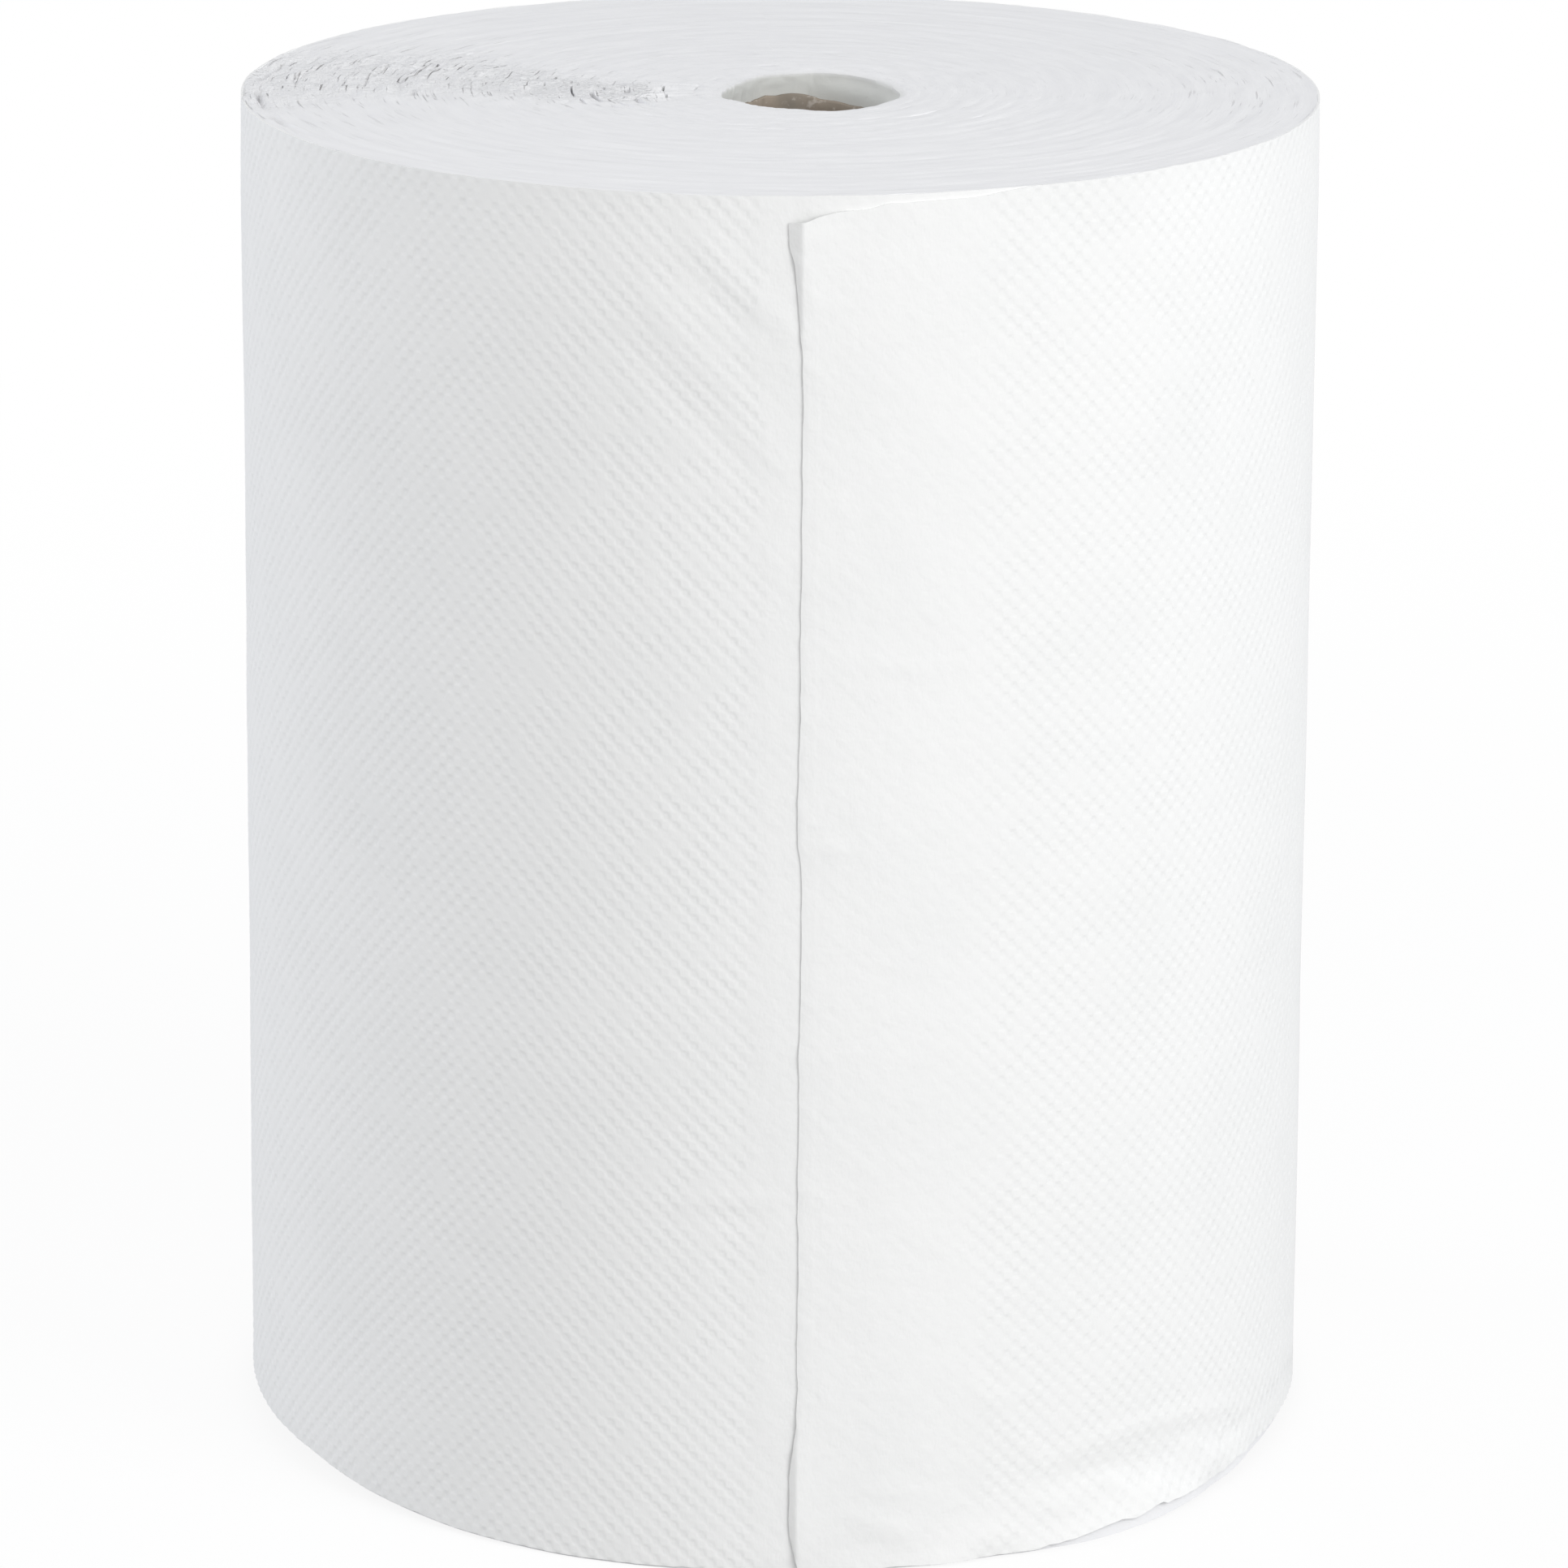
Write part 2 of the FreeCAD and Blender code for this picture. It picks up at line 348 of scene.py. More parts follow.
@dataclass
class LastTurn:
    """The outermost turn of paper, with the tail's edge lying over its other end."""

    sizes: RollSizes
    embossing: Embossing
    pitch: float = 0.4 * MM
    thickness: float = 0.38 * MM
    overlap: float = 46 * MM
    fine_run: float = 37 * MM
    tuck_rows: int = 60
    # Rows of the inner face that go all the way round, counted from the foot
    kept_rows: tuple = (0, 1, 2, 4, 7, 12, 30, 50, 70, 90, 115, 138, 144, 147, 149, 150)
    flat_left: float = 6 * MM
    flat_right: float = 33 * MM
    settle: float = 16 * MM
    # How much deeper the dots are on the right than elsewhere
    right_gain: float = 0.3
    # The stretches from the tail over which that gain starts and ends
    gain_start: tuple = (20 * MM, 50 * MM)
    gain_end: tuple = (150 * MM, 190 * MM)
    # How much of the dots the flattened places lose, and how unevenly dots and patches are pressed
    flat_share: float = 0.75
    dot_spread: float = 0.35
    patch_spread: float = 0.2
    dot_fade: float = 3 * MM
    # Height of the side's slow swells, and how far the tail's torn edge strays from its line
    broad_swell: float = 0.12 * MM
    small_swell: float = 0.05 * MM
    fine_stray: float = 0.1 * MM
    broad_stray: float = 0.12 * MM
    # Depth of the upper edge below the roll's end, by the distance from the tail
    upper_edge: tuple = (
        (0, 4.7), (2.4, 4.5), (4.6, 3.5), (7, 2.9), (12, 2.4), (15, 1.5), (31, 1.3), (41, 0.1),
    )
    # Height of the lower edge over the foot, by the distance from the tail
    lower_edge: tuple = (
        (0, 0.4), (30, 0.3), (44, 0.5), (56, 1.5), (70, 2.1), (88, 1.7), (112, 1.2), (140, 0.3),
    )
    # The stretch of the lower edge that is ragged
    ragged_start: tuple = (50 * MM, 60 * MM)
    ragged_end: tuple = (105 * MM, 130 * MM)
    ragged_gain: float = 4.0
    fine_fray: float = 0.1 * MM
    broad_fray: float = 0.2 * MM
    # How far the tail's edge stands to the right of its mean line, by its height
    edge_line: tuple = (
        (0, 0.3), (2.2, -0.3), (6.5, -1.1), (12, -1.3), (21, -1.2), (27.7, -0.2), (36.5, 0.2), (38, 0.0),
        (60, 0.1), (71, -0.02), (84, 0.1), (98, 0.15), (114, 0.35), (129, 0.42), (135, 0.2), (137, -0.2),
        (141, -0.35), (158, -0.05), (187, 0.12), (205, 0.2), (226, 0.2), (228, -0.1), (235, -0.7),
        (242, -1.4), (249, -2.3), (254, -2.4),
    )
    # How far the fold beside the tail's edge stands off the roll, by its height
    fold_lift: tuple = (
        (0, 0.4), (3, 0.6), (8, 0.85), (14, 0.85), (21, 0.7), (27, 0.3), (36, 0.06), (44, 0.02), (70, 0.0),
        (73, 0.08), (78, 0.0), (134, 0.0), (140, 0.1), (150, 0.02), (190, 0.04), (226, 0.08), (234, 0.45),
        (242, 0.8), (249, 1.2), (254, 1.3),
    )
    # How much wider the roll has become than its mean size, by the height
    taper: tuple = (
        (0, 1.5), (50, 1.15), (80, 0.95), (120, 0.65), (160, 0.35), (195, 0.1), (235, 0.0), (254, -0.25),
    )
    # The share of that on the mean, and how much less of it there is on the right than on the left
    taper_share: float = 0.78
    taper_lean: float = 0.22
    # How far the foot stands off the ground, and how far its edge flares out, by the place round the roll
    rise_line: tuple = (
        (0.0, 0), (0.1, 0), (0.14, 0.8), (0.172, 2.2), (0.202, 3.0), (0.26, 3.0), (0.4, 0), (0.5, 0),
        (0.62, 3.0), (0.7, 4.4), (0.78, 4.4), (0.83, 3.6), (0.86, 1.9), (0.895, 0.6), (0.93, 0), (1, 0),
    )
    flare_line: tuple = (
        (0.0, 0.2), (0.06, 1.2), (0.1, 2.4), (0.14, 1.7), (0.17, 0.4), (0.21, 0), (0.75, 0), (0.9, 0.1),
        (1, 0.2),
    )
    flare_height: float = 13 * MM
    lift_reach: float = 11 * MM
    edge_sink: float = 0.17 * MM
    edge_taper: float = 2.6 * MM
    edge_thickness: float = 0.08 * MM

    def columns(self) -> np.ndarray:
        """Choose the distances from the tail at which the paper has a column of points.

        Returns:
            The distances, close together beside the tail.
        """
        half_cell = self.sizes.girth / (2 * self.embossing.cells_around)
        beside = np.arange(0, 2, 1 / 6)
        fine = np.arange(2, round(self.fine_run / half_cell), 0.5)
        last = 2 * self.embossing.cells_around + round(self.overlap / half_cell)
        plain = np.arange(round(self.fine_run / half_cell), last + 1)
        return np.concatenate([beside, fine, plain]) * half_cell

    def rows(self) -> np.ndarray:
        """Heights over the foot at which the paper has a row of points, before its edges wander."""
        return np.linspace(0, self.sizes.height, 2 * self.embossing.cells_high + 1)

    def foot_rise(self, turn: np.ndarray) -> np.ndarray:
        """How far the edge of the foot stands off the ground."""
        return read_line(self.rise_line, turn % 1.0)

    def girth_change(self, turn: np.ndarray, level: np.ndarray) -> np.ndarray:
        """How far the side stands outside its mean place, by the taper and the flare at the foot.

        Args:
            turn: place round the roll.
            level: height over the foot.

        Returns:
            The distance at each place.
        """
        flare = read_line(self.flare_line, turn % 1.0)
        rag = 1 + 0.35 * Noise(12, 70, 9).at(turn, level / (4 * MM))
        low = np.clip(1 - level / self.flare_height, 0, 1) ** 1.5
        share = self.taper_share - self.taper_lean * np.sin(2 * math.pi * turn)
        return read_line(self.taper, level / MM) * share + flare * rag * low

    def flatness(self, along: np.ndarray, level: np.ndarray) -> np.ndarray:
        """How much of the embossing is pressed flat, near the tail.

        Args:
            along: distance from the tail, less than 0 to its left.
            level: height over the foot.

        Returns:
            The share that is lost, at each place.
        """
        stray = Noise(11, 40, 80).at(along / self.sizes.girth, level / (9 * MM)) * 5 * MM
        right = smooth(self.flat_right + 6 * MM, self.flat_right - 5 * MM, along + stray)
        left = smooth(-self.flat_left - 4 * MM, -self.flat_left, along + 0.4 * stray)
        return np.where(along >= 0, right, left)

    def sheet(self) -> tuple[np.ndarray, np.ndarray]:
        """Work out the paper's outer face and its inner face.

        Returns:
            Two grids of points, by column and row.
        """
        s, z = np.meshgrid(self.columns(), self.rows(), indexing="ij")
        sizes = self.sizes
        jitter = self.jitter(z)
        edge = (read_line(self.edge_line, z / MM) + jitter) * np.clip(1 - s / self.lift_reach, 0, 1)
        near_edge = np.clip(1 - s / self.edge_taper, 0, 1)
        turn = s / sizes.girth
        reach = sizes.radius - self.pitch * turn + self.girth_change(turn, z) + self.relief(s, z)
        reach = reach + self.lift(s + edge, z) + np.abs(jitter) * np.clip(1 - s / (4 * MM), 0, 1) ** 2
        reach = reach - self.edge_sink * near_edge**2
        thickness = self.thickness + (self.edge_thickness - self.thickness) * near_edge
        level = self.level(s, z)
        turn = (s + edge) / sizes.girth
        return on_roll(turn, reach - self.pressed(s, z), level), on_roll(turn, reach - thickness, level)

    def from_tail(self, s: np.ndarray) -> np.ndarray:
        """Distance from the tail by the shorter way, less than 0 to its left."""
        return np.where(s > self.sizes.girth / 2, s - self.sizes.girth, s)

    def relief(self, s: np.ndarray, z: np.ndarray) -> np.ndarray:
        """How far creases and slow swells lift the paper.

        Args:
            s: distance from the tail along the paper.
            z: height over the foot.

        Returns:
            The lift at each place, and 0 where the paper lies under the tail.
        """
        turn = s / self.sizes.girth
        swell = Noise(3, 9, 7).at(turn, z / (45 * MM)) * self.broad_swell
        swell = swell + Noise(4, 34, 31).at(turn, z / (14 * MM)) * self.small_swell
        creases = sum(crease.relief(self.from_tail(s), z) for crease in TAIL_CREASES)
        return np.where(s > self.sizes.girth, 0.0, creases + swell)

    def pressed(self, s: np.ndarray, z: np.ndarray) -> np.ndarray:
        """How deep the dots are pressed into the outer face.

        Args:
            s: distance from the tail along the paper.
            z: height over the foot.

        Returns:
            The depth at each place, and 0 where the paper lies under the tail.
        """
        sizes = self.sizes
        turn = s / sizes.girth
        strength = 1 + self.dot_spread * Noise(15, 185, 75).at(turn, z / (3.4 * MM))
        strength = strength + self.patch_spread * Noise(16, 26, 25).at(turn, z / (11 * MM))
        depth = self.embossing.depth * self.embossing.dots(turn, z / sizes.height) * strength
        depth = depth * (1 - self.flat_share * self.flatness(self.from_tail(s), z)) * (s <= sizes.girth)
        depth = depth * smooth(sizes.height, sizes.height - self.dot_fade, z)
        gain = smooth(*self.gain_start, s) * smooth(*self.gain_end[::-1], s)
        return depth * (1 + self.right_gain * gain)

    def jitter(self, z: np.ndarray) -> np.ndarray:
        """How far the tail's torn edge strays from its line.

        Args:
            z: height over the foot.

        Returns:
            The distance at each height.
        """
        still = np.zeros_like(z)
        fine = Noise(13, 3, 97).at(still, z / (2.6 * MM)) * self.fine_stray
        return fine + Noise(14, 3, 89).at(still, z / (9 * MM)) * self.broad_stray

    def lift(self, along: np.ndarray, z: np.ndarray) -> np.ndarray:
        """How far the paper beside the tail's edge stands off the roll.

        It rises from the edge to a fold on the tail's mean line, and falls slowly beyond.

        Args:
            along: distance from the tail's mean line.
            z: height over the foot.

        Returns:
            The lift at each place.
        """
        fold = read_line(self.fold_lift, z / MM)
        curl = np.clip(-read_line(self.edge_line, z / MM), 0.3 * MM, None)
        beyond = np.clip(1 - along / self.lift_reach, 0, 1) ** 2
        before = np.clip(1 + 0.9 * along / curl, 0, 1)
        return fold * np.where(along > 0, beyond, before)

    def level(self, s: np.ndarray, z: np.ndarray) -> np.ndarray:
        """Let the rows near the two edges follow them.

        Args:
            s: distance from the tail.
            z: height over the foot, before the edges wander.

        Returns:
            The true height over the foot.
        """
        turn = s / self.sizes.girth
        fray = Noise(5, 420, 2).round_at(turn) * self.fine_fray
        fray = fray + Noise(6, 70, 2).round_at(turn) * self.broad_fray
        ragged = 1 + self.ragged_gain * smooth(*self.ragged_start, s) * smooth(*self.ragged_end[::-1], s)
        top = read_line(self.upper_edge, s / MM) + 0.14 * MM + 0.8 * fray
        bottom = read_line(self.lower_edge, s / MM) + 0.1 * MM + np.abs(fray * ragged)
        bottom = bottom + self.foot_rise(turn)
        near_top = smooth(self.sizes.height - self.settle, self.sizes.height, z)
        near_bottom = smooth(self.settle, 0, z)
        return z - top * near_top + bottom * near_bottom

    def build(self) -> bpy.types.Object:
        """Make the turn as one closed thin sheet.

        Returns:
            The new piece.
        """
        outer, inner = self.sheet()
        kept = list(self.kept_rows)
        draft = MeshDraft()
        front = draft.add(outer)
        near = draft.add(inner[: self.tuck_rows])
        far = draft.add(inner[self.tuck_rows :, kept])
        draft.skin(front)
        draft.skin(near, flip=True)
        draft.skin(far, flip=True)
        for place, (low, high) in enumerate(zip(kept, kept[1:])):
            draft.face([*near[-1, low : high + 1], far[0, place + 1], far[0, place]])
            draft.face([far[-1, place], far[-1, place + 1], *front[-1, low : high + 1][::-1]])
        lower = np.concatenate([near[:, 0], far[:, 0]])
        upper = np.concatenate([near[:, -1], far[:, -1]])
        draft.skin(np.stack([front[:, 0], lower], axis=1), flip=True)
        draft.skin(np.stack([front[:, -1], upper], axis=1))
        draft.skin(np.stack([near[0], front[0]], axis=0))
        return draft.build("outer_turn")


@dataclass
class WoundBody:
    """All the turns below the last one, with both ends of the roll and the hole's lining."""

    sizes: RollSizes
    last_turn: LastTurn
    columns_around: int = 400
    # How far the side lies inside the last turn, at the upper edge and below it
    gap_at_top: float = -0.05 * MM
    gap: float = 0.22 * MM
    slit_pitch: float = 3.2 * MM
    slit_width: float = 0.16 * MM
    ring_pitch: float = 1.0 * MM
    foot_pitch: float = 2.2 * MM
    # How far the hole's upper rim has moved outwards, and how far it has sunk, round the roll
    rim_shift: tuple = (
        (0.0, -2.8), (0.03, -1.7), (0.047, -0.4), (0.07, 0.6), (0.12, 0.8), (0.17, 1.1), (0.217, 2.2),
        (0.256, 2.0), (0.3, 1.5), (0.394, 1.8), (0.444, 0.6), (0.469, -1.2), (0.5, -2.7), (0.532, -4.0),
        (0.558, -6.1), (0.6, -8.4), (0.65, -9.7), (0.72, -10.1), (0.78, -9.0), (0.835, -7.7), (0.87, -7.6),
        (0.908, -6.8), (0.97, -3.5), (1.0, -2.8),
    )
    rim_sink: tuple = (
        (0.0, 0.0), (0.06, 0.3), (0.12, 0.5), (0.25, 0.5), (0.4, 0.4), (0.55, 0.3), (0.65, 0.2), (0.8, 0.1),
        (0.93, 0.0), (1.0, 0.0),
    )
    rim_wander: float = 0.25 * MM
    # How far along the upper end and how deep down the hole the rim's shape reaches
    rim_run: float = 13 * MM
    rim_depth: float = 3.0 * MM
    dent_depth: float = 30 * MM
    # How far the rim is rounded over, and the depth of its wrinkles
    rim_drop: float = 0.35 * MM
    lip_drop: float = 0.75 * MM
    wrinkle_depth: float = 0.3 * MM
    # Heights on the upper end: how far it lies below the roll's end, its bands, ruffles, lumps and slits
    upper_drop: float = 0.25 * MM
    band_height: float = 0.12 * MM
    ruffle_height: float = 0.22 * MM
    lump_height: float = 0.5 * MM
    slit_depth: float = 1.6 * MM
    ragged_height: float = 0.3 * MM
    # Heights on the hidden side and on the lower end, and how far inwards the raised foot reaches
    crinkle_depth: float = 0.06 * MM
    foot_relief: float = 0.3 * MM
    foot_run: float = 30 * MM
    # The stretch of ragged edges on the left of the upper end
    rag_turn: float = 0.735
    rag_spread: float = 0.06
    far_rag_turn: float = 0.262
    far_rag_share: float = 0.3

    def side_reach(self, turn: np.ndarray, level: np.ndarray) -> np.ndarray:
        """Radius of the side, just inside the last turn and its other end.

        Args:
            turn: place round the roll.
            level: height over the foot.

        Returns:
            The radius at each place, before the taper and the flare.
        """
        pitch = self.last_turn.pitch
        overlap = self.last_turn.overlap / self.sizes.girth
        under_tail = smooth(overlap * 1.3, overlap, turn)
        below = smooth(self.sizes.height - 0.5 * MM, self.sizes.height - 4 * MM, level)
        gap = self.gap_at_top + (self.gap - self.gap_at_top) * below
        return self.sizes.radius - pitch * (1 + turn) - gap - (1 - turn) * pitch * under_tail

    def rim(self, turn: np.ndarray) -> tuple[np.ndarray, np.ndarray]:
        """Work out the shape of the hole's crushed upper rim.

        Args:
            turn: place round the roll.

        Returns:
            How far the rim has moved outwards, and how far it has sunk.
        """
        wander = Noise(21, 30, 2).round_at(turn) * self.rim_wander
        return read_line(self.rim_shift, turn) + wander, read_line(self.rim_sink, turn)

    def slits(self) -> np.ndarray:
        """Choose the radii at which the upper end has slits between its turns.

        Returns:
            The radii, from the hole outwards.
        """
        slits = np.arange(self.sizes.hole + 2.4 * MM, self.sizes.radius - 2.2 * MM, self.slit_pitch)
        return slits + Noise(22, 50, 2).values[: len(slits), 0] * 0.5 * MM

    def rings(self) -> np.ndarray:
        """Choose the radii of the upper end's rings, with three close together at each slit.

        Returns:
            The radii, from the hole outwards.
        """
        slits = self.slits()
        close = np.concatenate([slits - self.slit_width, slits, slits + self.slit_width])
        plain = np.arange(self.sizes.hole, self.sizes.radius, self.ring_pitch)
        clear = np.min(np.abs(plain[:, None] - slits[None]), axis=1) > 0.45 * self.ring_pitch
        clear &= plain < self.sizes.radius - 1.6 * MM
        edge = self.sizes.radius - np.array([1.2, 0.5, 0.0]) * MM
        return np.unique(np.concatenate([plain[clear], close, edge]))

    def upper_relief(self, turn: np.ndarray, reach: np.ndarray) -> np.ndarray:
        """Height of the upper end over its mean plane.

        Args:
            turn: place round the roll.
            reach: distance from the axis.

        Returns:
            The height at each place, which is over 0 only where the edges are ragged.
        """
        spiral = reach / MM + turn
        bands = Noise(23, 5, 128).at(turn, spiral / 2.6) + Noise(24, 22, 256).at(turn, spiral / 1.1) - 1
        ruffle = Noise(25, 150, 256).at(turn, spiral / 0.9) * self.ruffle_height
        lumps = Noise(26, 90, 64).at(turn, spiral / 3.5) * self.lump_height
        rag = self.rag(turn, reach)
        calm = smooth(self.sizes.radius, self.sizes.radius - 4 * MM, reach)
        relief = bands * self.band_height * calm + ruffle * (0.26 + 1.2 * rag) + lumps * rag - self.upper_drop
        near_slit = np.min(np.abs(reach[..., None] - self.slits()), axis=-1)
        torn = Noise(27, 70, 256).at(turn, spiral / self.slit_pitch * MM)
        depth = smooth(0.1, 0.7, torn * (0.55 + 0.9 * rag)) * self.slit_depth
        slit = (near_slit < 0.4 * self.slit_width) * depth * (0.15 + rag)
        return np.minimum(relief - slit, self.ragged_height * rag)

    def rag(self, turn: np.ndarray, reach: np.ndarray) -> np.ndarray:
        """How ragged the turns' edges are on the upper end.

        Args:
            turn: place round the roll.
            reach: distance from the axis.

        Returns:
            The raggedness at each place, from 0 to about 1.
        """
        sway = 0.02 * np.sin(reach / (14 * MM)) - 0.00035 * (reach / MM - 60)
        left = np.exp(-(((turn - self.rag_turn - sway) / self.rag_spread) ** 2))
        right = np.exp(-(((turn - self.far_rag_turn) / self.rag_spread) ** 2)) * self.far_rag_share
        left = left * smooth(self.sizes.hole, self.sizes.hole + 6 * MM, reach)
        return left + right * smooth(62 * MM, 84 * MM, reach)

    def upper_end(self) -> np.ndarray:
        """Work out the upper end.

        Returns:
            Its points by column and ring, from the hole outwards.
        """
        turn, ring = np.meshgrid(self.turns(), self.rings(), indexing="ij")
        sizes = self.sizes
        share = (ring - sizes.hole) / (sizes.radius - sizes.hole)
        side = self.side_reach(turn, sizes.height) + self.last_turn.girth_change(turn, sizes.height)
        reach = sizes.hole + (side - sizes.hole) * share
        level = sizes.height + self.upper_relief(turn, reach)
        near_hole = np.clip(1 - (reach - sizes.hole) / self.rim_run, 0, 1)
        shift, sink = self.rim(turn)
        reach = reach + shift * near_hole**2
        level = level - sink * near_hole**2 - self.rim_drop * near_hole**8
        return on_roll(turn, reach, level)

    def lining(self) -> np.ndarray:
        """Work out the hole's wall.

        Returns:
            Its points by column and row, from the foot upwards.
        """
        steps = np.concatenate([[0.0, 0.02, 0.5, 0.93], np.linspace(0.96, 1.0, 18)[:-1]])
        turn, share = np.meshgrid(self.turns(), steps, indexing="ij")
        level = self.sizes.height * share
        below = self.sizes.height - level
        lean = np.exp(-((below / self.rim_depth) ** 2))
        wrinkle = Noise(28, 46, 40).at(turn, below / (2.2 * MM)) * self.wrinkle_depth
        shift, sink = self.rim(turn)
        pushed = np.clip(shift, 0, None) * lean + self.dent(turn, level)
        reach = self.sizes.hole + pushed - np.abs(wrinkle) * lean
        return on_roll(turn, reach, level - (sink + self.lip_drop) * lean)

    def dent(self, turn: np.ndarray, level: np.ndarray) -> np.ndarray:
        """How far the hole's wall, with the core in it, has been pushed: less than 0, for inwards."""
        deep = np.exp(-(((self.sizes.height - level) / self.dent_depth) ** 2))
        return np.clip(self.rim(turn)[0], None, 0) * deep

    def side(self) -> np.ndarray:
        """Work out the side, which the last turn hides.

        Returns:
            Its points by column and row, from the top downwards.
        """
        upper, lower = np.linspace(1.0, 0.95, 10)[1:], np.linspace(0.07, 0.0, 15)
        steps = np.concatenate([upper, [0.8, 0.5, 0.3, 0.16, 0.1], lower])
        turn, share = np.meshgrid(self.turns(), steps, indexing="ij")
        level = self.sizes.height * share
        crinkle = Noise(29, 200, 60).at(turn, level / (3 * MM)) * self.crinkle_depth
        swell = self.last_turn.girth_change(turn, level)
        rise = self.last_turn.foot_rise(turn) * smooth(25 * MM, 0, level)
        return on_roll(turn, self.side_reach(turn, level) - np.abs(crinkle) + swell, level + rise)

    def lower_end(self) -> np.ndarray:
        """Work out the lower end.

        Returns:
            Its points by column and ring, from the side inwards.
        """
        rings = np.arange(self.sizes.radius - 1.6 * MM, self.sizes.hole + 0.5 * MM, -self.foot_pitch)
        turn, reach = np.meshgrid(self.turns(), rings, indexing="ij")
        spiral = reach / MM + turn
        relief = np.clip(Noise(30, 7, 128).at(turn, spiral / 3.0) * self.foot_relief, 0, None)
        outer = smooth(self.sizes.radius - self.foot_run, self.sizes.radius, reach)
        return on_roll(turn, reach, relief + self.last_turn.foot_rise(turn) * outer)

    def turns(self) -> np.ndarray:
        """Places round the roll at which the body has a column of points."""
        return np.arange(self.columns_around) / self.columns_around

    def build(self) -> bpy.types.Object:
        """Make the body as one closed solid.

        Returns:
            The new piece.
        """
        loop = np.concatenate([self.lining(), self.upper_end(), self.side(), self.lower_end()], axis=1)
        draft = MeshDraft()
        draft.wrap(loop)
        piece = draft.build("wound_turns")
        self.mark(piece)
        return piece

    def mark(self, piece: bpy.types.Object) -> None:
        """Write on each point how ragged the turns' edges are, and how much painted shade it gets on the
        hole's wall.

        Args:
            piece: the finished piece.
        """
        points = np.empty(3 * len(piece.data.vertices))
        piece.data.vertices.foreach_get("co", points)
        x, y, z = points.reshape(-1, 3).T
        turn, reach = np.arctan2(x, -y) / (2 * math.pi) % 1.0, np.hypot(x, y)
        high = smooth(self.sizes.height - 10 * MM, self.sizes.height - 4 * MM, z)
        near_axis = reach < self.sizes.hole + 3 * MM
        # Painted shade: the hole's wall below its rim, where little light reaches
        inside = near_axis * smooth(self.sizes.height - 0.7 * MM, self.sizes.height - 1.6 * MM, z)
        for name, values in ((RAG, self.rag(turn, reach) * high), (HOLE_SHADE, inside)):
            layer = piece.data.attributes.new(name, "FLOAT", "POINT")
            layer.data.foreach_set("value", values)


@dataclass
class CoreTube:
    """The spirally wound cardboard core, with a bruised upper end."""

    sizes: RollSizes
    body: WoundBody
    columns_around: int = 240
    rows_high: int = 150
    seam_pitch: float = 62 * MM
    seam_width: float = 0.9 * MM
    seam_depth: float = 0.18 * MM
    rim_round: float = 0.25 * MM
    # Depth of the small dents in the upper rim, and how far down its wear reaches
    dent_depth: float = 0.35 * MM
    wear_reach: float = 6 * MM
    # How far the upper rim is worn down, by the place round the roll
    worn_rim: tuple = (
        (0.0, 0.3), (0.2, 0.8), (0.36, 1.6), (0.43, 1.2), (0.46, 0.3), (0.49, 0.0), (0.52, 0.2), (0.54, 0.6),
        (0.7, 0.6), (0.85, 0.3), (1.0, 0.3),
    )

    def build(self) -> bpy.types.Object:
        """Make the core as one closed tube.

        Returns:
            The new piece.
        """
        turns = np.arange(self.columns_around) / self.columns_around
        rim = self.rim_round
        outer = self.sizes.hole
        inner = self.sizes.core_bore
        foot, top = self.sizes.core_foot, self.sizes.core_top
        levels = np.linspace(top - rim, foot + rim, self.rows_high)
        profile = [(outer, foot + rim), (outer, top - rim), (outer - rim, top), (inner + rim, top)]
        profile += [(inner, level) for level in levels]
        profile += [(inner + rim, foot), (outer - rim, foot)]
        reach, level = (np.array(part) for part in zip(*profile))
        turn, reach = np.meshgrid(turns, reach, indexing="ij")
        level = np.broadcast_to(level, turn.shape)
        worn = read_line(self.worn_rim, turn)
        near_top = smooth(top - self.wear_reach, top, level)
        dents = Noise(41, 30, 4).round_at(turn) + 0.5 * Noise(42, 90, 4).round_at(turn)
        level = level - near_top * (worn + np.abs(dents) * self.dent_depth)
        wave = (turn * self.seam_pitch + level) % self.seam_pitch - self.seam_pitch / 2
        seam = np.exp(-((wave / self.seam_width) ** 2)) * self.seam_depth
        reach = np.where(reach < inner + rim / 2, reach + seam, reach) + self.body.dent(turn, level)
        draft = MeshDraft()
        draft.wrap(on_roll(turn, reach, level), flip=True)
        return draft.build("core_board_tube")


class Sum(Enum):
    """The sums that the finishes are worked out with, by their names in a Math node."""

    ADD = "ADD"
    SUBTRACT = "SUBTRACT"
    MULTIPLY = "MULTIPLY"
    DIVIDE = "DIVIDE"
    POWER = "POWER"
    ROOT = "SQRT"
    COSINE = "COSINE"
    ANGLE = "ARCTAN2"
    GREATER = "MAXIMUM"


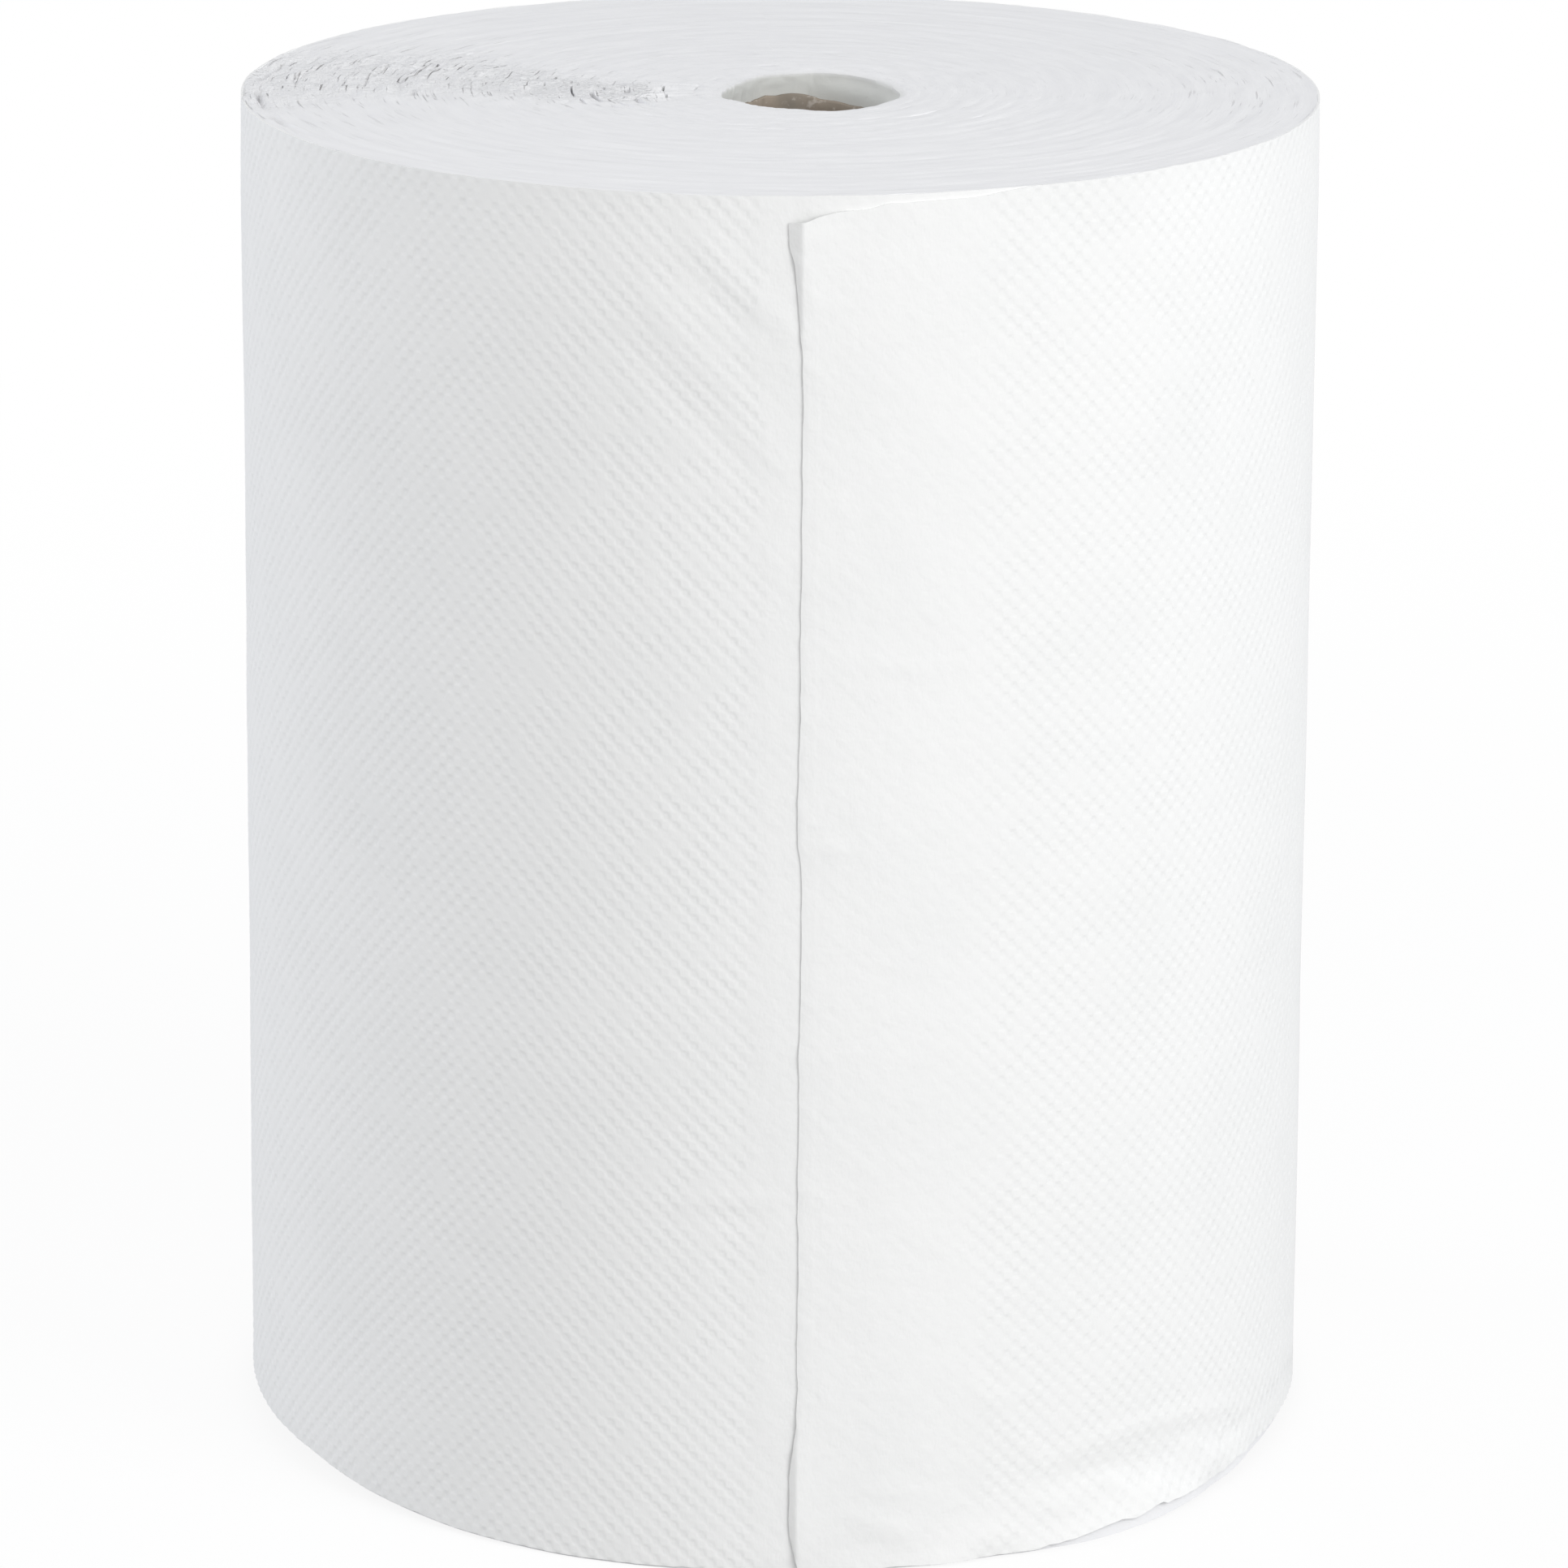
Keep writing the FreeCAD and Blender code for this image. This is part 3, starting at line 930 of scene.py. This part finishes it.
class NodeSketch:
    """A node tree that is being drawn, with short ways to add and join its nodes."""

    def __init__(self, tree: bpy.types.NodeTree) -> None:
        """Take up a tree.

        Args:
            tree: the node tree of a material, a world or a group.
        """
        self.tree = tree

    def node(self, kind: str, **settings: object) -> bpy.types.Node:
        """Add a node.

        Args:
            kind: Blender's name for the kind of node.
            settings: values for the node's own properties.

        Returns:
            The new node.
        """
        node = self.tree.nodes.new(kind)
        for name, value in settings.items():
            setattr(node, name, value)
        return node

    def feed(self, socket: bpy.types.NodeSocket, value: object) -> None:
        """Give a socket its value.

        Args:
            socket: the socket.
            value: a constant, or another node's output to join it to.
        """
        if isinstance(value, bpy.types.NodeSocket):
            self.tree.links.new(value, socket)
        else:
            socket.default_value = value

    def sum(self, kind: Sum, *values: object) -> bpy.types.NodeSocket:
        """Add a Math node.

        Args:
            kind: the sum that it does.
            values: its inputs, each a constant or an output.

        Returns:
            The result.
        """
        node = self.node("ShaderNodeMath", operation=kind.value)
        for socket, value in zip(node.inputs, values):
            self.feed(socket, value)
        return node.outputs[0]

    def ease(self, value: object, low: object, high: object) -> bpy.types.NodeSocket:
        """Rise smoothly from 0 to 1 as a value goes from low to high.

        Args:
            value: the value.
            low: where the rise starts.
            high: where it ends, which may be less than low.

        Returns:
            The rise.
        """
        node = self.node("ShaderNodeMapRange", interpolation_type="SMOOTHSTEP")
        for name, item in (("Value", value), ("From Min", low), ("From Max", high)):
            self.feed(node.inputs[name], item)
        return node.outputs["Result"]

    def blend(self, share: object, first: object, second: object) -> bpy.types.NodeSocket:
        """Mix two colours.

        Args:
            share: the second colour's share.
            first: the colour where the share is 0.
            second: the colour where it is 1.

        Returns:
            The mixed colour.
        """
        node = self.node("ShaderNodeMix", data_type="RGBA")
        self.feed(node.inputs["Factor"], share)
        colours = [socket for socket in node.inputs if socket.type == "RGBA"]
        self.feed(colours[0], first)
        self.feed(colours[1], second)
        return [socket for socket in node.outputs if socket.type == "RGBA"][0]

    def noise(self, place: object, scale: object, detail: float = 2.0) -> bpy.types.NodeSocket:
        """Add a noise texture.

        Args:
            place: the place at which it is read.
            scale: how many cells it has to a metre, or to one unit of the place.
            detail: how many finer layers it has.

        Returns:
            The noise, from 0 to 1.
        """
        node = self.node("ShaderNodeTexNoise")
        for name, value in (("Vector", place), ("Scale", scale), ("Detail", detail)):
            self.feed(node.inputs[name], value)
        return node.outputs["Fac"]

    def place(self, x: object, y: object, z: object) -> bpy.types.NodeSocket:
        """Put three numbers together as a place.

        Args:
            x: the first number.
            y: the second number.
            z: the third number.

        Returns:
            The place.
        """
        node = self.node("ShaderNodeCombineXYZ")
        for socket, value in zip(node.inputs, (x, y, z)):
            self.feed(socket, value)
        return node.outputs[0]

    def use(self, group: bpy.types.NodeTree, **values: object) -> bpy.types.Node:
        """Place a node group.

        Args:
            group: the group.
            values: its inputs by name, with _ for a space.

        Returns:
            The group's node.
        """
        node = self.node("ShaderNodeGroup", node_tree=group)
        for name, value in values.items():
            self.feed(node.inputs[name.replace("_", " ")], value)
        return node


class Effect:
    """A shader node group with named inputs and outputs, built once and used by many finishes."""

    def __init__(self, name: str) -> None:
        """Start an empty group.

        Args:
            name: the group's name.
        """
        self.tree = bpy.data.node_groups.new(name, "ShaderNodeTree")
        self.sketch = NodeSketch(self.tree)
        self.source = self.sketch.node("NodeGroupInput")
        self.result = self.sketch.node("NodeGroupOutput")

    def takes(self, name: str, default: float) -> bpy.types.NodeSocket:
        """Add a number to the inputs.

        Args:
            name: the input's name.
            default: its value where none is given.

        Returns:
            Its socket inside the group.
        """
        socket = self.tree.interface.new_socket(name, in_out="INPUT", socket_type=NUMBER_SOCKET)
        socket.default_value = default
        return self.source.outputs[name]

    def gives(self, name: str, value: bpy.types.NodeSocket) -> None:
        """Add an output and join it to a value."""
        self.tree.interface.new_socket(name, in_out="OUTPUT", socket_type=NUMBER_SOCKET)
        self.tree.links.new(value, self.result.inputs[name])

    def round_the_roll(self) -> tuple[bpy.types.NodeSocket, ...]:
        """Work out the place round the axis.

        Returns:
            The angle from the tail in radians, the distance from the axis, the height, and the place.
        """
        sketch = self.sketch
        where = sketch.node("ShaderNodeTexCoord").outputs["Object"]
        split = sketch.node("ShaderNodeSeparateXYZ")
        sketch.feed(split.inputs[0], where)
        x, y, z = split.outputs
        angle = sketch.sum(Sum.ANGLE, x, sketch.sum(Sum.MULTIPLY, y, -1.0))
        squares = sketch.sum(Sum.ADD, sketch.sum(Sum.POWER, x, 2.0), sketch.sum(Sum.POWER, y, 2.0))
        reach = sketch.sum(Sum.ROOT, squares)
        return angle, reach, z, where


def dot_embossing(embossing: Embossing, sizes: RollSizes) -> bpy.types.NodeTree:
    """Make the effect of the pressed dots.

    Args:
        embossing: the pattern, which the last turn's mesh has too.
        sizes: the roll's sizes.

    Returns:
        A group that gives the height of the paper and a mask of the dots.
    """
    effect = Effect("dot_embossing")
    flat_left = effect.takes("Flat Left", 0.0)
    flat_right = effect.takes("Flat Right", 0.0)
    sketch = effect.sketch
    angle, _, level, where = effect.round_the_roll()
    across = sketch.sum(Sum.COSINE, sketch.sum(Sum.MULTIPLY, angle, float(embossing.cells_around)))
    upward = 2 * math.pi * embossing.cells_high / sizes.height
    up = sketch.sum(Sum.COSINE, sketch.sum(Sum.MULTIPLY, level, upward))
    dots = sketch.ease(sketch.sum(Sum.MULTIPLY, across, up), embossing.edge_low, embossing.edge_high)
    along = sketch.sum(Sum.MULTIPLY, angle, sizes.radius)
    stray = sketch.sum(Sum.MULTIPLY, sketch.sum(Sum.SUBTRACT, sketch.noise(where, 90.0), 0.5), 14 * MM)
    along = sketch.sum(Sum.ADD, along, stray)
    right_start = sketch.sum(Sum.ADD, flat_right, 6 * MM)
    right = sketch.ease(along, right_start, sketch.sum(Sum.SUBTRACT, flat_right, 5 * MM))
    left_start = sketch.sum(Sum.SUBTRACT, -4 * MM, flat_left)
    left = sketch.ease(along, left_start, sketch.sum(Sum.MULTIPLY, flat_left, -1.0))
    flat = sketch.sum(Sum.MULTIPLY, left, right)
    dots = sketch.sum(Sum.MULTIPLY, dots, sketch.sum(Sum.SUBTRACT, 1.0, sketch.sum(Sum.MULTIPLY, flat, 0.8)))
    dots = sketch.sum(Sum.MULTIPLY, dots, sketch.ease(sketch.noise(where, 210.0, 1.0), 0.1, 0.7))
    effect.gives("Height", sketch.sum(Sum.SUBTRACT, 1.0, dots))
    effect.gives("Dots", dots)
    effect.gives("Pressed Flat", flat)
    return effect.tree


def tissue_fibre() -> bpy.types.NodeTree:
    """Make the effect of creped tissue.

    Returns:
        A group that gives a fine height and a slow change of tone.
    """
    effect = Effect("tissue_fibre")
    sketch = effect.sketch
    angle, _, level, where = effect.round_the_roll()
    across = sketch.sum(Sum.MULTIPLY, angle, 0.1)
    crepe = sketch.noise(sketch.place(across, 0.0, sketch.sum(Sum.MULTIPLY, level, 0.35)), 2600.0, 3.0)
    fibre = sketch.noise(where, 1500.0, 4.0)
    cloud = sketch.noise(where, 38.0, 3.0)
    height = sketch.sum(Sum.ADD, sketch.sum(Sum.MULTIPLY, crepe, 0.5), sketch.sum(Sum.MULTIPLY, fibre, 0.5))
    effect.gives("Height", height)
    effect.gives("Cloud", cloud)
    return effect.tree


def crinkle() -> bpy.types.NodeTree:
    """Make the effect of paper crinkled by hand.

    Returns:
        A group that gives the height of soft folds, on both sides of 0.
    """
    effect = Effect("crinkle")
    scale = effect.takes("Scale", 300.0)
    sketch = effect.sketch
    where = effect.round_the_roll()[3]
    soft = sketch.noise(where, scale)
    broad = sketch.noise(where, 120.0, 1.0)
    height = sketch.sum(Sum.ADD, sketch.sum(Sum.MULTIPLY, soft, 0.7), sketch.sum(Sum.MULTIPLY, broad, 1.2))
    effect.gives("Height", sketch.sum(Sum.SUBTRACT, height, 0.95))
    return effect.tree


def turn_edges() -> bpy.types.NodeTree:
    """Make the effect of the turns' edges on an end of the roll.

    Returns:
        A group that gives the height of the edges, the gaps and bands between turns, the torn
        edges and their flecks, and a height that leans inwards.
    """
    effect = Effect("turn_edges")
    pitch = effect.takes("Turn Pitch", 0.5 * MM)
    sketch = effect.sketch
    angle, reach, _, where = effect.round_the_roll()
    wander = sketch.sum(Sum.MULTIPLY, sketch.sum(Sum.SUBTRACT, sketch.noise(where, 24.0), 0.5), 3 * MM)
    spiral = sketch.sum(Sum.DIVIDE, sketch.sum(Sum.ADD, reach, wander), pitch)
    spiral = sketch.sum(Sum.ADD, spiral, sketch.sum(Sum.DIVIDE, angle, 2 * math.pi))
    slow = sketch.sum(Sum.MULTIPLY, angle, 4.5)
    fine = sketch.noise(sketch.place(spiral, slow, 0.0), 1.0, 1.0)
    band = sketch.place(sketch.sum(Sum.MULTIPLY, spiral, 0.22), slow, 5.0)
    broad = sketch.noise(band, 1.0, 2.0)
    part = sketch.place(sketch.sum(Sum.MULTIPLY, spiral, 0.6), sketch.sum(Sum.MULTIPLY, angle, 9.0), 2.0)
    broken = sketch.noise(part, 1.0, 2.0)
    gap = sketch.sum(Sum.MULTIPLY, sketch.ease(fine, 0.44, 0.3), sketch.ease(broken, 0.48, 0.66))
    height = sketch.sum(Sum.ADD, sketch.sum(Sum.MULTIPLY, fine, 0.6), sketch.sum(Sum.MULTIPLY, broad, 0.4))
    scrap = sketch.place(sketch.sum(Sum.MULTIPLY, spiral, 0.45), sketch.sum(Sum.MULTIPLY, angle, 55.0), 8.0)
    torn = sketch.noise(scrap, 1.0, 3.0)
    effect.gives("Torn", sketch.sum(Sum.SUBTRACT, torn, 0.5))
    effect.gives("Flecks", sketch.ease(torn, 0.37, 0.27))
    effect.gives("Height", height)
    effect.gives("Gaps", gap)
    effect.gives("Bands", broad)
    effect.gives("Lean", sketch.sum(Sum.MULTIPLY, reach, -1.0))
    return effect.tree


def board_plies() -> bpy.types.NodeTree:
    """Make the effect of spirally wound core board.

    Returns:
        A group that gives the board's fine height, its flecks and its slow change of tone.
    """
    effect = Effect("board_plies")
    sketch = effect.sketch
    angle, reach, level, where = effect.round_the_roll()
    across = sketch.sum(Sum.MULTIPLY, angle, 0.02)
    grain = sketch.noise(sketch.place(across, reach, sketch.sum(Sum.MULTIPLY, level, 0.4)), 900.0, 4.0)
    flecks = sketch.ease(sketch.noise(where, 700.0, 5.0), 0.56, 0.72)
    cloud = sketch.noise(where, 110.0, 4.0)
    effect.gives("Height", grain)
    effect.gives("Flecks", flecks)
    effect.gives("Cloud", cloud)
    return effect.tree


@dataclass
class Effects:
    """The node groups that the finishes share."""

    dots: bpy.types.NodeTree
    fibre: bpy.types.NodeTree
    crinkle: bpy.types.NodeTree
    turns: bpy.types.NodeTree
    board: bpy.types.NodeTree


def new_finish(
    name: str, roughness: float, specular: float
) -> tuple[bpy.types.Material, NodeSketch, bpy.types.Node]:
    """Start a material with a Principled shader.

    Args:
        name: the material's name.
        roughness: the shader's roughness.
        specular: the shader's specular level.

    Returns:
        The material, the sketch of its nodes and the shader.
    """
    material = bpy.data.materials.new(name)
    material.use_nodes = True
    sketch = NodeSketch(material.node_tree)
    shader = material.node_tree.nodes["Principled BSDF"]
    shader.inputs["Roughness"].default_value = roughness
    shader.inputs["Specular IOR Level"].default_value = specular
    return material, sketch, shader


def bump(sketch: NodeSketch, shader: bpy.types.Node, layers: list[tuple[object, float]]) -> None:
    """Lay several heights over each other on a shader's normal.

    Args:
        sketch: the material's nodes.
        shader: the shader that gets the normal.
        layers: each height with its depth in metres.
    """
    normal = None
    for height, depth in layers:
        node = sketch.node("ShaderNodeBump")
        node.inputs["Distance"].default_value = depth
        sketch.feed(node.inputs["Height"], height)
        if normal is not None:
            sketch.feed(node.inputs["Normal"], normal)
        normal = node.outputs["Normal"]
    sketch.feed(shader.inputs["Normal"], normal)


@dataclass(frozen=True)
class EmbossedTowel:
    """Finish of the last turn: soft white two-ply tissue with pressed dots."""

    white: tuple = (0.885, 0.888, 0.884, 1)
    shade: tuple = (0.845, 0.852, 0.848, 1)
    # Share of the darker colour painted into each dot: painted shade of the pressed pits
    painted_dot_shade: float = 0.28
    dot_bump: float = 0.13 * MM
    crinkle_scale: float = 420.0
    crinkle_bump: float = 0.22 * MM
    fibre_bump: float = 0.05 * MM

    def build(self, effects: Effects, last_turn: LastTurn) -> bpy.types.Material:
        """Make the material.

        Args:
            effects: the shared node groups.
            last_turn: the turn that it dresses, whose flat places it follows.

        Returns:
            The material.
        """
        material, sketch, shader = new_finish("embossed_towel", 0.92, 0.18)
        dots = sketch.use(effects.dots, Flat_Left=last_turn.flat_left, Flat_Right=last_turn.flat_right)
        fibre = sketch.use(effects.fibre)
        folds = sketch.use(effects.crinkle, Scale=self.crinkle_scale)
        cloud = sketch.sum(Sum.MULTIPLY, sketch.ease(fibre.outputs["Cloud"], 0.35, 0.85), 0.5)
        # Painted shade in the dots, plus a slow random change of tone from the cloud
        tone = sketch.sum(Sum.ADD, sketch.sum(Sum.MULTIPLY, dots.outputs["Dots"], self.painted_dot_shade), cloud)
        colour = sketch.blend(tone, self.white, self.shade)
        sketch.feed(shader.inputs["Base Color"], colour)
        crinkled = sketch.sum(Sum.MULTIPLY, folds.outputs["Height"], dots.outputs["Pressed Flat"])
        layers = [(dots.outputs["Height"], self.dot_bump), (crinkled, self.crinkle_bump)]
        bump(sketch, shader, layers + [(fibre.outputs["Height"], self.fibre_bump)])
        return material


@dataclass(frozen=True)
class TurnEdgePaper:
    """Finish of the wound turns: the cut edges of hundreds of turns, with small gaps."""

    white: tuple = (0.866, 0.869, 0.882, 1)
    shade: tuple = (0.8, 0.803, 0.82, 1)
    # Darker colour of the hole's wall: painted shade inside the hole
    lining: tuple = (0.66, 0.67, 0.65, 1)
    gap_shade: tuple = (0.4, 0.39, 0.39, 1)
    torn_shade: tuple = (0.62, 0.62, 0.62, 1)
    turn_pitch: float = 0.5 * MM
    lean: float = 0.03
    turn_bump: float = 0.11 * MM
    gap_bump: float = -0.3 * MM
    torn_bump: float = 0.9 * MM
    fibre_bump: float = 0.05 * MM
    calm_gaps: float = 0.1
    ragged_gaps: float = 0.9

    def build(self, effects: Effects) -> bpy.types.Material:
        """Make the material.

        Args:
            effects: the shared node groups.

        Returns:
            The material.
        """
        material, sketch, shader = new_finish("turn_edge_paper", 0.95, 0.12)
        turns = sketch.use(effects.turns, Turn_Pitch=self.turn_pitch)
        fibre = sketch.use(effects.fibre)
        tone = sketch.ease(turns.outputs["Bands"], 0.3, 0.75)
        colour = sketch.blend(sketch.sum(Sum.MULTIPLY, tone, 0.5), self.white, self.shade)
        rag = sketch.node("ShaderNodeAttribute", attribute_name=RAG).outputs["Fac"]
        share = sketch.sum(Sum.ADD, sketch.sum(Sum.MULTIPLY, rag, self.ragged_gaps), self.calm_gaps)
        gaps = sketch.sum(Sum.MULTIPLY, turns.outputs["Gaps"], share)
        colour = sketch.blend(gaps, colour, self.gap_shade)
        ragged = sketch.ease(rag, 0.15, 0.9)
        flecks = sketch.sum(Sum.MULTIPLY, turns.outputs["Flecks"], ragged)
        colour = sketch.blend(flecks, colour, self.torn_shade)
        # Painted shade on the hole's wall, by the mask that mark writes
        inside = sketch.node("ShaderNodeAttribute", attribute_name=HOLE_SHADE).outputs["Fac"]
        sketch.feed(shader.inputs["Base Color"], sketch.blend(inside, colour, self.lining))
        torn = sketch.sum(Sum.MULTIPLY, turns.outputs["Torn"], ragged)
        layers = [(turns.outputs["Lean"], self.lean), (turns.outputs["Height"], self.turn_bump)]
        layers += [(gaps, self.gap_bump), (torn, self.torn_bump), (fibre.outputs["Height"], self.fibre_bump)]
        bump(sketch, shader, layers)
        return material


@dataclass(frozen=True)
class CoreBoard:
    """Finish of the core: grey-brown board of recycled paper."""

    brown: tuple = (0.37, 0.315, 0.26, 1)
    grey: tuple = (0.27, 0.24, 0.205, 1)
    fleck: tuple = (0.66, 0.61, 0.56, 1)
    grain_bump: float = 0.12 * MM

    def build(self, effects: Effects) -> bpy.types.Material:
        """Make the material.

        Args:
            effects: the shared node groups.

        Returns:
            The material.
        """
        material, sketch, shader = new_finish("core_board", 0.9, 0.2)
        board = sketch.use(effects.board)
        colour = sketch.blend(sketch.ease(board.outputs["Cloud"], 0.35, 0.7), self.brown, self.grey)
        colour = sketch.blend(sketch.sum(Sum.MULTIPLY, board.outputs["Flecks"], 0.6), colour, self.fleck)
        sketch.feed(shader.inputs["Base Color"], colour)
        bump(sketch, shader, [(board.outputs["Height"], self.grain_bump)])
        return material


@dataclass
class PaperTowelRoll:
    """The whole roll: its core, its wound turns and its last turn."""

    sizes: RollSizes
    embossing: Embossing = field(default_factory=Embossing)

    def build(self) -> None:
        """Make each piece, dress it and give it its place in the frame."""
        dots = dot_embossing(self.embossing, self.sizes)
        effects = Effects(dots, tissue_fibre(), crinkle(), turn_edges(), board_plies())
        last_turn = LastTurn(self.sizes, self.embossing)
        body = WoundBody(self.sizes, last_turn)
        core = CoreTube(self.sizes, body)
        self.place(last_turn.build(), EmbossedTowel().build(effects, last_turn), PAPER_NODE, PAPER_SLOT)
        self.place(body.build(), TurnEdgePaper().build(effects), PAPER_NODE, PAPER_SLOT)
        self.place(core.build(), CoreBoard().build(effects), CORE_NODE, BOARD_SLOT)

    def place(self, piece: bpy.types.Object, finish: bpy.types.Material, node: str, slot: str) -> None:
        """Dress a piece and join it to the frame.

        Args:
            piece: the piece.
            finish: its material.
            node: the part of the frame that it stands for.
            slot: the record's slot that its finish belongs to; it is not used.
        """
        piece.data.materials.append(finish)
        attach(piece, BODY)
        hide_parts(node)
        log.info("%s: %d faces for %s", piece.name, len(piece.data.polygons), node)


@dataclass(frozen=True)
class Softbox:
    """A soft rectangular lamp, placed by its angle to the right of the camera in degrees."""

    name: str
    to_the_right: float
    distance: float
    height: float
    size: tuple[float, float]
    power: float
    colour: tuple[float, float, float] = (1.0, 1.0, 1.0)


SOFTBOXES = (
    Softbox("key_softbox", 48, 2.1, 1.0, (1.2, 1.6), 21.6),
    Softbox("front_softbox", 0, 2.4, 1.1, (1.4, 1.2), 10.7),
    Softbox("left_softbox", -106, 2.1, 0.7, (0.9, 1.5), 17.8, (0.9, 0.93, 1.0)),
    Softbox("right_softbox", 120, 2.1, 0.7, (0.9, 1.5), 6.2, (0.85, 0.91, 1.0)),
)


@dataclass
class Studio:
    """A pale studio: floor, soft lamps, even surroundings and the camera."""

    sizes: RollSizes
    picture_width: float = 1932.0
    focal_pixels: float = 8743.0
    sensor: float = 36.0
    camera_distance: float = 1.2959
    camera_over_top: float = 0.2451
    camera_pitch: float = math.radians(16.323)
    camera_yaw: float = math.radians(0.062)
    camera_roll: float = math.radians(0.285)
    tail_right: float = math.radians(2.33)
    floor_size: float = 12.0
    floor_seen: tuple = (0.95, 0.95, 0.95, 1)
    floor_bounce: tuple = (0.5, 0.5, 0.5, 1)
    white: tuple = (1.0, 1.0, 1.0, 1)
    ambient: float = 0.63
    # The share of plain white in the floor near the roll, and the distances over which it becomes whole
    near_glow: float = 0.88
    glow_start: float = 0.12
    glow_end: float = 0.9

    def build(self) -> None:
        """Set up everything round the roll."""
        scene = bpy.context.scene
        scene.view_settings.view_transform = "Standard"
        self.floor()
        self.surroundings(scene)
        for lamp in SOFTBOXES:
            self.hang(lamp)
        scene.camera = self.camera()
        log.info("studio: floor, lamps and camera")

    def camera(self) -> bpy.types.Object:
        """Make the camera at the place that the outline of the roll gives.

        Returns:
            The camera.
        """
        data = bpy.data.cameras.new("camera")
        data.sensor_width = self.sensor
        data.lens = self.focal_pixels / self.picture_width * self.sensor
        camera = bpy.data.objects.new("camera", data)
        bpy.context.scene.collection.objects.link(camera)
        place = Matrix.Translation((0, -self.camera_distance, self.sizes.height + self.camera_over_top))
        aim = Matrix.Rotation(math.pi / 2 - self.camera_pitch, 4, "X")
        aim = Matrix.Rotation(-self.camera_yaw, 4, "Z") @ aim @ Matrix.Rotation(self.camera_roll, 4, "Z")
        camera.matrix_world = Matrix.Rotation(-self.tail_right, 4, "Z") @ place @ aim
        return camera

    def hang(self, lamp: Softbox) -> None:
        """Hang a softbox so that it faces the roll.

        Args:
            lamp: the softbox.
        """
        data = bpy.data.lights.new(lamp.name, "AREA")
        data.shape = "RECTANGLE"
        data.size, data.size_y = lamp.size
        data.energy = lamp.power
        data.color = lamp.colour
        turn = math.radians(lamp.to_the_right) - self.tail_right
        place = Vector((lamp.distance * math.sin(turn), -lamp.distance * math.cos(turn), lamp.height))
        light = bpy.data.objects.new(lamp.name, data)
        light.location = place
        aim = Vector((0, 0, self.sizes.height / 2)) - place
        light.rotation_euler = aim.to_track_quat("-Z", "Y").to_euler()
        bpy.context.scene.collection.objects.link(light)

    def surroundings(self, scene: bpy.types.Scene) -> None:
        """Make the surroundings: even light for the roll, white to the eye.

        Args:
            scene: the scene that they belong to.
        """
        world = bpy.data.worlds.new("studio")
        world.use_nodes = True
        scene.world = world
        sketch = NodeSketch(world.node_tree)
        back = world.node_tree.nodes["Background"]
        seen = self.seen(sketch)
        sketch.feed(back.inputs["Color"], self.white)
        strength = sketch.sum(Sum.ADD, sketch.sum(Sum.MULTIPLY, seen, 1 - self.ambient), self.ambient)
        sketch.feed(back.inputs["Strength"], strength)

    def seen(self, sketch: NodeSketch) -> bpy.types.NodeSocket:
        """Tell the rays that the eye follows, straight or by gloss or glass, from all others.

        Args:
            sketch: the nodes of a material or a world.

        Returns:
            1 for such a ray and 0 for any other.
        """
        path = sketch.node("ShaderNodeLightPath")
        seen = sketch.sum(Sum.GREATER, path.outputs["Is Camera Ray"], path.outputs["Is Glossy Ray"])
        return sketch.sum(Sum.GREATER, seen, path.outputs["Is Transmission Ray"])

    def floor(self) -> None:
        """Make the floor, white to the eye with the roll's shadow on it."""
        half = self.floor_size / 2
        corners = [(-half, -half, 0), (half, -half, 0), (half, half, 0), (-half, half, 0)]
        mesh = bpy.data.meshes.new("floor")
        mesh.from_pydata(corners, [], [(0, 1, 2, 3)])
        floor = bpy.data.objects.new("floor", mesh)
        bpy.context.scene.collection.objects.link(floor)
        material, sketch, shader = new_finish("floor_white", 1.0, 0.0)
        seen = self.seen(sketch)
        sketch.feed(shader.inputs["Base Color"], sketch.blend(seen, self.floor_bounce, self.floor_seen))
        where = sketch.node("ShaderNodeTexCoord").outputs["Object"]
        away = sketch.node("ShaderNodeVectorMath", operation="LENGTH")
        sketch.feed(away.inputs[0], where)
        far = sketch.ease(away.outputs["Value"], self.glow_start, self.glow_end)
        glow = sketch.node("ShaderNodeEmission")
        mix = sketch.node("ShaderNodeMixShader")
        glow_share = sketch.sum(Sum.ADD, sketch.sum(Sum.MULTIPLY, far, 1 - self.near_glow), self.near_glow)
        sketch.feed(mix.inputs[0], sketch.sum(Sum.MULTIPLY, seen, glow_share))
        sketch.feed(mix.inputs[1], shader.outputs[0])
        sketch.feed(mix.inputs[2], glow.outputs[0])
        output = material.node_tree.nodes["Material Output"]
        sketch.feed(output.inputs["Surface"], mix.outputs[0])
        mesh.materials.append(material)


def main() -> None:
    """Build the roll and the studio round it."""
    logging.basicConfig(level=logging.INFO, format="%(name)s: %(message)s")
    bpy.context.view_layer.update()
    sizes = RollSizes.from_frame()
    PaperTowelRoll(sizes).build()
    Studio(sizes).build()


if __name__ == "__main__":
    main()
